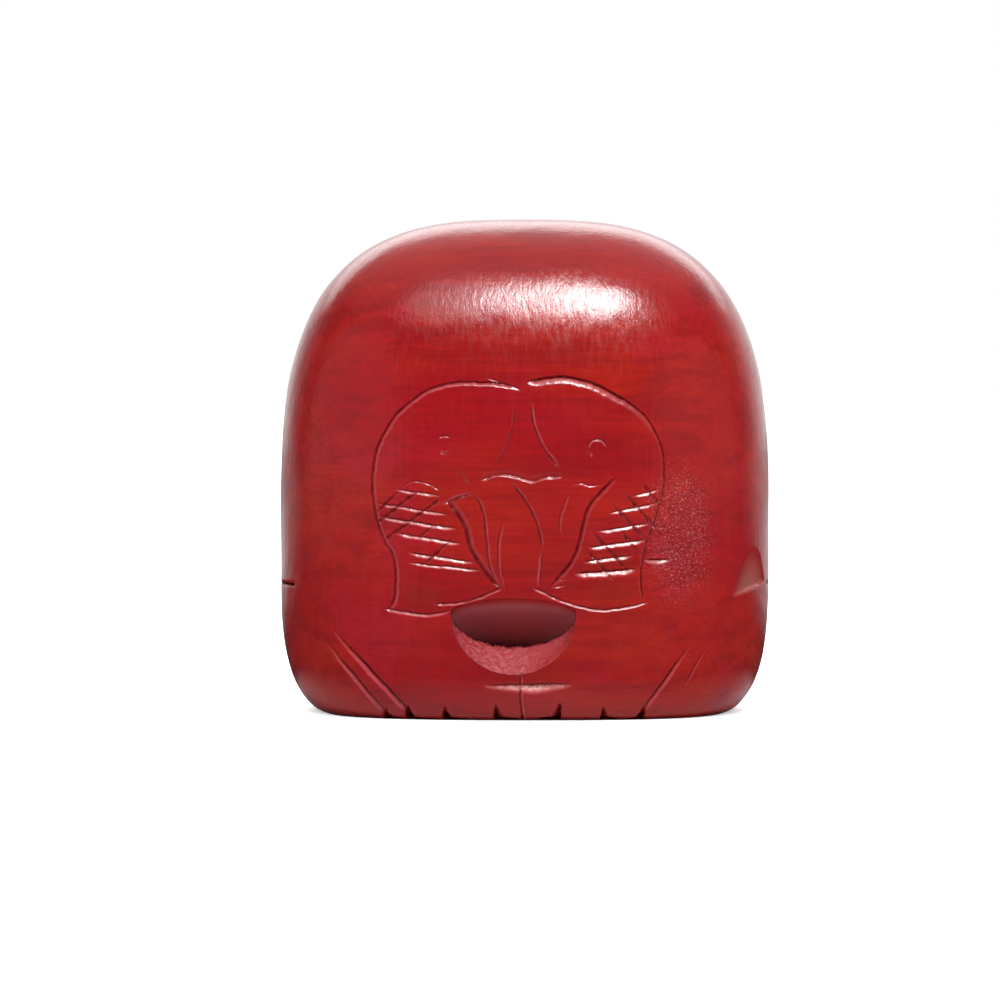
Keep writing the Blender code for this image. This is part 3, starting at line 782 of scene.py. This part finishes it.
class Nodes:
    """A short way to build a node tree."""

    def __init__(self, tree):
        self.tree = tree
        tree.nodes.clear()

    def add(self, kind, **values):
        node = self.tree.nodes.new(kind)
        for name, value in values.items():
            setattr(node, name, value)
        return node

    def join(self, source, target):
        self.tree.links.new(source, target)

    def mapped(self, source, scale, centre=(0, 0, 0)):
        node = self.add("ShaderNodeMapping")
        node.inputs["Scale"].default_value = scale
        node.inputs["Location"].default_value = [-one * middle for one, middle in zip(scale, centre)]
        self.join(source, node.inputs["Vector"])
        return node.outputs["Vector"]

    def noise(self, source, scale, detail=4.0, rough=0.55, distortion=0.0):
        node = self.add("ShaderNodeTexNoise")
        node.inputs["Scale"].default_value = scale
        node.inputs["Detail"].default_value = detail
        node.inputs["Roughness"].default_value = rough
        node.inputs["Distortion"].default_value = distortion
        self.join(source, node.inputs["Vector"])
        return node.outputs["Fac"]

    def ramp(self, source, *stops):
        node = self.add("ShaderNodeValToRGB")
        elements = node.color_ramp.elements
        while len(elements) < len(stops):
            elements.new(0.5)
        for element, (place, colour) in zip(elements, stops):
            element.position = place
            element.color = colour if isinstance(colour, tuple) else (colour, colour, colour, 1)
        self.join(source, node.inputs["Fac"])
        return node.outputs["Color"]

    def mix(self, factor, first, second, blend="MIX"):
        node = self.add("ShaderNodeMix", data_type="RGBA", blend_type=blend)
        for socket, value in ((node.inputs[0], factor), (node.inputs[6], first), (node.inputs[7], second)):
            if isinstance(value, (float, tuple)):
                socket.default_value = value
            else:
                self.join(value, socket)
        return node.outputs[2]

    def math(self, operation, first, second=None):
        node = self.add("ShaderNodeMath", operation=operation)
        for socket, value in zip(node.inputs, (first, second)):
            if value is None:
                continue
            if isinstance(value, (float, int)):
                socket.default_value = value
            else:
                self.join(value, socket)
        return node.outputs[0]

    def distance(self, source, scale, centre=(0, 0, 0)):
        """How far a place is from the centre, with each axis scaled."""
        node = self.add("ShaderNodeVectorMath", operation="LENGTH")
        self.join(self.mapped(source, scale, centre), node.inputs[0])
        return node.outputs["Value"]

    def attribute(self, name):
        return self.add("ShaderNodeAttribute", attribute_name=name).outputs["Fac"]

    def bump(self, height, distance, strength=1.0, under=None):
        node = self.add("ShaderNodeBump")
        node.inputs["Strength"].default_value = strength
        node.inputs["Distance"].default_value = distance
        self.join(height, node.inputs["Height"])
        if under is not None:
            self.join(under, node.inputs["Normal"])
        return node.outputs["Normal"]


def lacquered_wood():
    """Red lacquer over wood whose grain runs from side to side."""
    material = bpy.data.materials.new("red_lacquered_wood")
    material.use_nodes = True
    nodes = Nodes(material.node_tree)
    place = nodes.add("ShaderNodeTexCoord").outputs["Object"]

    crimson = (0.275, 0.0042, 0.0075, 1)
    scarlet = (0.315, 0.011, 0.006, 1)
    deep = (0.175, 0.0038, 0.006, 1)
    magenta = (0.30, 0.0065, 0.016, 1)
    chiselled = (0.38, 0.15, 0.12, 1)
    # Whitish, a painted highlight for the glints on the strokes
    painted_glint = (0.78, 0.43, 0.39, 1)
    # Pale is painted light on the strokes' lit walls and the rough-cut wood of the pocket's ramp; shadow is
    # painted shade in the strokes
    pale = (0.44, 0.068, 0.082, 1)
    shadow = (0.085, 0.004, 0.005, 1)
    # A painted sheen and painted light for the pocket's hollow
    painted_pocket_sheen = (0.36, 0.09, 0.10, 1)
    # Bare wood, made lighter as painted light where the lamps hardly reach
    bare_wood_with_painted_light = (0.36, 0.055, 0.045, 1)
    brown = (0.17, 0.012, 0.006, 1)
    # Pale specks of painted glare
    painted_glare = (0.72, 0.2, 0.22, 1)

    # Uneven lacquer over the grain
    broad = nodes.noise(nodes.mapped(place, (26, 50, 60)), 1.0, 3, 0.5, 0.4)
    patches = nodes.noise(nodes.mapped(place, (75, 75, 90)), 1.0, 2, 0.5, 0.5)
    streaks = nodes.noise(nodes.mapped(place, (30, 260, 330)), 1.0, 5, 0.6, 0.6)
    fine = nodes.noise(nodes.mapped(place, (110, 1500, 2100)), 1.0, 4, 0.6)
    colour = nodes.mix(nodes.ramp(broad, (0.42, 0.0), (0.62, 1.0)), crimson, scarlet)
    colour = nodes.mix(nodes.ramp(patches, (0.52, 0.0), (0.72, 0.9)), colour, magenta)
    colour = nodes.mix(nodes.ramp(streaks, (0.36, 0.55), (0.54, 0.0)), colour, deep)
    colour = nodes.mix(nodes.ramp(fine, (0.42, 0.3), (0.58, 0.0)), colour, deep)
    for across, up in TAIL_SHADES:
        apart = nodes.distance(place, (170, 30, 420), (across * MM, LOW.y, up * MM))
        colour = nodes.mix(nodes.ramp(apart, (0.2, 0.45), (1.0, 0.0)), colour, brown)

    # Pocket, strokes, chiselled flat and the bare wood inside, with painted light, shade, highlights and
    # sheen
    ramp = nodes.attribute("ramp")
    pocket = nodes.attribute("pocket")
    inside = nodes.attribute("inside")
    grit = nodes.noise(place, 1500, 3, 0.7)
    speckle = nodes.ramp(grit, (0.42, 0.25), (0.6, 1.0))
    # Mauve in the pocket's hollow: a painted reflection of the pale floor on its roof, and painted light
    # deeper in, where little lamp light reaches
    hollow = nodes.ramp(pocket, (0.05, 0.0), (0.3, 0.85), (0.85, 0.45), (1.0, 0.3))
    colour = nodes.mix(nodes.math("MULTIPLY", hollow, nodes.math("SUBTRACT", 1.0, ramp)), colour, painted_pocket_sheen)
    colour = nodes.mix(nodes.math("MULTIPLY", ramp, speckle), colour, pale)
    # Painted light on the strokes' lit walls, and painted shade at their bottoms and steep walls
    colour = nodes.mix(nodes.attribute("pale"), colour, pale)
    colour = nodes.mix(nodes.attribute("painted_shade"), colour, shadow)
    # Painted highlight: whitish glints on the strokes' gentle walls
    colour = nodes.mix(nodes.math("MULTIPLY", nodes.attribute("glint"), speckle), colour, painted_glint)
    colour = nodes.mix(nodes.math("MULTIPLY", nodes.attribute("relief"), 0.6), colour, chiselled)
    # Bare wood inside the chamber and slit, its colour raised as painted light so the unlit kerf is not
    # black
    colour = nodes.mix(inside, colour, bare_wood_with_painted_light)

    # Gloss, rubbed up and down, and the pitted patch with its painted glare specks
    shader = nodes.add("ShaderNodeBsdfPrincipled")
    shader.inputs["Metallic"].default_value = 0.0
    shader.inputs["IOR"].default_value = 1.5
    rubbed = nodes.noise(nodes.mapped(place, (1500, 1500, 200)), 1.0, 3, 0.6)
    roughness = nodes.ramp(rubbed, (0.3, 0.12), (0.7, 0.25))
    roughness = nodes.mix(ramp, roughness, (0.5, 0.5, 0.5, 1))
    roughness = nodes.mix(inside, roughness, (0.9, 0.9, 0.9, 1))
    rub_bump = nodes.bump(rubbed, 0.00006, 0.9)
    across, up = GLARE_PATCH
    apart = nodes.distance(place, (150, 30, 75), (across * MM, LOW.y, up * MM))
    pitted = nodes.ramp(apart, (0.35, 1.0), (1.0, 0.0))
    pits = nodes.ramp(nodes.noise(place, 2600, 2, 0.6), (0.5, 0.0), (0.62, 1.0))
    rub_bump = nodes.bump(nodes.math("MULTIPLY", pitted, pits), 0.00008, 1.0, rub_bump)
    # Painted glare: pale specks over the pitted patch
    glare_specks = nodes.ramp(nodes.noise(place, 3300, 2, 0.7), (0.56, 0.0), (0.7, 0.5))
    colour = nodes.mix(nodes.math("MULTIPLY", pitted, glare_specks), colour, painted_glare)
    grain_bump = nodes.bump(streaks, 0.00008, 0.3, rub_bump)
    grit_bump = nodes.bump(nodes.math("MULTIPLY", grit, nodes.attribute("coarse")), 0.0004, 1.0, grain_bump)
    nodes.join(colour, shader.inputs["Base Color"])
    nodes.join(roughness, shader.inputs["Roughness"])
    nodes.join(grit_bump, shader.inputs["Normal"])
    out = nodes.add("ShaderNodeOutputMaterial")
    nodes.join(shader.outputs[0], out.inputs["Surface"])
    return material


# Stage, light and camera

def floor():
    """White to the camera but for the block's shadow, and dimmer where the lacquer mirrors it."""
    bpy.ops.mesh.primitive_plane_add(size=6.0, location=(0, 0, 0))
    item = bpy.context.object
    item.name = "floor"
    material = bpy.data.materials.new("pale_floor")
    material.use_nodes = True
    nodes = Nodes(material.node_tree)
    path = nodes.add("ShaderNodeLightPath")
    place = nodes.add("ShaderNodeTexCoord").outputs["Object"]
    foot = (1 / (HALF_WIDTH * MM), 1 / (HALF_DEPTH * MM), 0)
    away = nodes.math("MULTIPLY", nodes.distance(place, foot), 0.5)
    lit = nodes.add("ShaderNodeBsdfDiffuse")
    lit.inputs["Color"].default_value = (0.88, 0.88, 0.88, 1)
    glow = nodes.ramp(away, (0.4, 0.2), (0.47, 0.9), (0.75, 1.0))
    white = nodes.add("ShaderNodeEmission")
    nodes.join(nodes.mix(path.outputs["Is Camera Ray"], (0.0, 0.0, 0.0, 1), glow), white.inputs["Color"])
    seen = nodes.add("ShaderNodeAddShader")
    nodes.join(lit.outputs[0], seen.inputs[0])
    nodes.join(white.outputs[0], seen.inputs[1])
    dim = nodes.add("ShaderNodeBsdfDiffuse")
    close = nodes.ramp(away, (0.5, 0.45), (0.7, 0.03))
    split = nodes.add("ShaderNodeSeparateXYZ")
    nodes.join(place, split.inputs[0])
    behind = nodes.ramp(split.outputs["Y"], (0.1, 0.0), (0.5, 0.8))
    nodes.join(nodes.mix(1.0, close, behind, "LIGHTEN"), dim.inputs["Color"])
    mirrored = nodes.add("ShaderNodeMixShader")
    nodes.join(path.outputs["Is Glossy Ray"], mirrored.inputs[0])
    nodes.join(seen.outputs[0], mirrored.inputs[1])
    nodes.join(dim.outputs[0], mirrored.inputs[2])
    out = nodes.add("ShaderNodeOutputMaterial")
    nodes.join(mirrored.outputs[0], out.inputs["Surface"])
    item.data.materials.append(material)


def surroundings():
    """White to the camera; for light, a pale room behind the block and a dim one in front."""
    world = bpy.data.worlds.new("studio")
    bpy.context.scene.world = world
    world.use_nodes = True
    nodes = Nodes(world.node_tree)
    path = nodes.add("ShaderNodeLightPath")
    way = nodes.add("ShaderNodeTexCoord").outputs["Generated"]
    split = nodes.add("ShaderNodeSeparateXYZ")
    nodes.join(way, split.inputs[0])
    sideways = nodes.math("MULTIPLY", split.outputs["X"], 0.12)
    upwards = nodes.math("MULTIPLY", split.outputs["Z"], 0.2)
    turned = nodes.math("ADD", nodes.math("ADD", split.outputs["Y"], sideways), upwards)
    behind = nodes.ramp(turned, (0.3, 0.05), (0.6, 0.3), (0.9, 1.0))
    above = nodes.ramp(split.outputs["Z"], (0.55, 0.0), (0.95, 0.7))
    mirrored = nodes.mix(1.0, behind, above, "ADD")
    rearward = nodes.ramp(split.outputs["Y"], (0.0, 0.15), (0.5, 0.9))
    leftward = nodes.ramp(nodes.math("MULTIPLY", split.outputs["X"], -1.0), (0.35, 0.0), (0.9, 0.55))
    rightward = nodes.ramp(split.outputs["X"], (0.35, 0.0), (0.9, 0.3))
    around = nodes.mix(1.0, rearward, nodes.mix(1.0, leftward, rightward, "ADD"), "LIGHTEN")
    level = nodes.mix(path.outputs["Is Glossy Ray"], around, mirrored)
    seen = nodes.mix(path.outputs["Is Camera Ray"], level, (1.0, 1.0, 1.0, 1))
    background = nodes.add("ShaderNodeBackground")
    nodes.join(seen, background.inputs["Color"])
    out = nodes.add("ShaderNodeOutputWorld")
    nodes.join(background.outputs[0], out.inputs["Surface"])


def softbox(name, azimuth, elevation, distance, width, height, power):
    """An area light that faces the block; azimuth 0 is straight in front of the carved face."""
    turn, rise = math.radians(azimuth), math.radians(elevation)
    back = Vector((math.sin(turn) * math.cos(rise), -math.cos(turn) * math.cos(rise), math.sin(rise)))
    light = bpy.data.lights.new(name, "AREA")
    light.shape = "ELLIPSE"
    light.size = width
    light.size_y = height
    light.energy = power
    item = bpy.data.objects.new(name, light)
    item.location = Vector((0, 0, HEIGHT / 2 * MM)) + back * distance
    item.rotation_euler = back.to_track_quat("Z", "Y").to_euler()
    bpy.context.scene.collection.objects.link(item)


def camera():
    data = bpy.data.cameras.new("camera")
    data.sensor_width = SENSOR_WIDTH
    data.lens = SENSOR_WIDTH * VIEW_DISTANCE / VIEW_WIDTH
    item = bpy.data.objects.new("camera", data)
    back = Vector((
        math.sin(VIEW_AZIMUTH) * math.cos(VIEW_ELEVATION),
        -math.cos(VIEW_AZIMUTH) * math.cos(VIEW_ELEVATION),
        math.sin(VIEW_ELEVATION)))
    item.location = (Vector(VIEW_TARGET) + back * VIEW_DISTANCE) * MM
    item.rotation_euler = back.to_track_quat("Z", "Y").to_euler()
    bpy.context.scene.collection.objects.link(item)
    bpy.context.scene.camera = item


clear_defaults()
camera()
skin = Skin().to_object()
skin.data.materials.append(lacquered_wood())
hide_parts("fish_body")
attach(skin, "root")

floor()
surroundings()
for lamp in LAMPS:
    softbox(*lamp)
bpy.context.scene.view_settings.view_transform = "Standard"
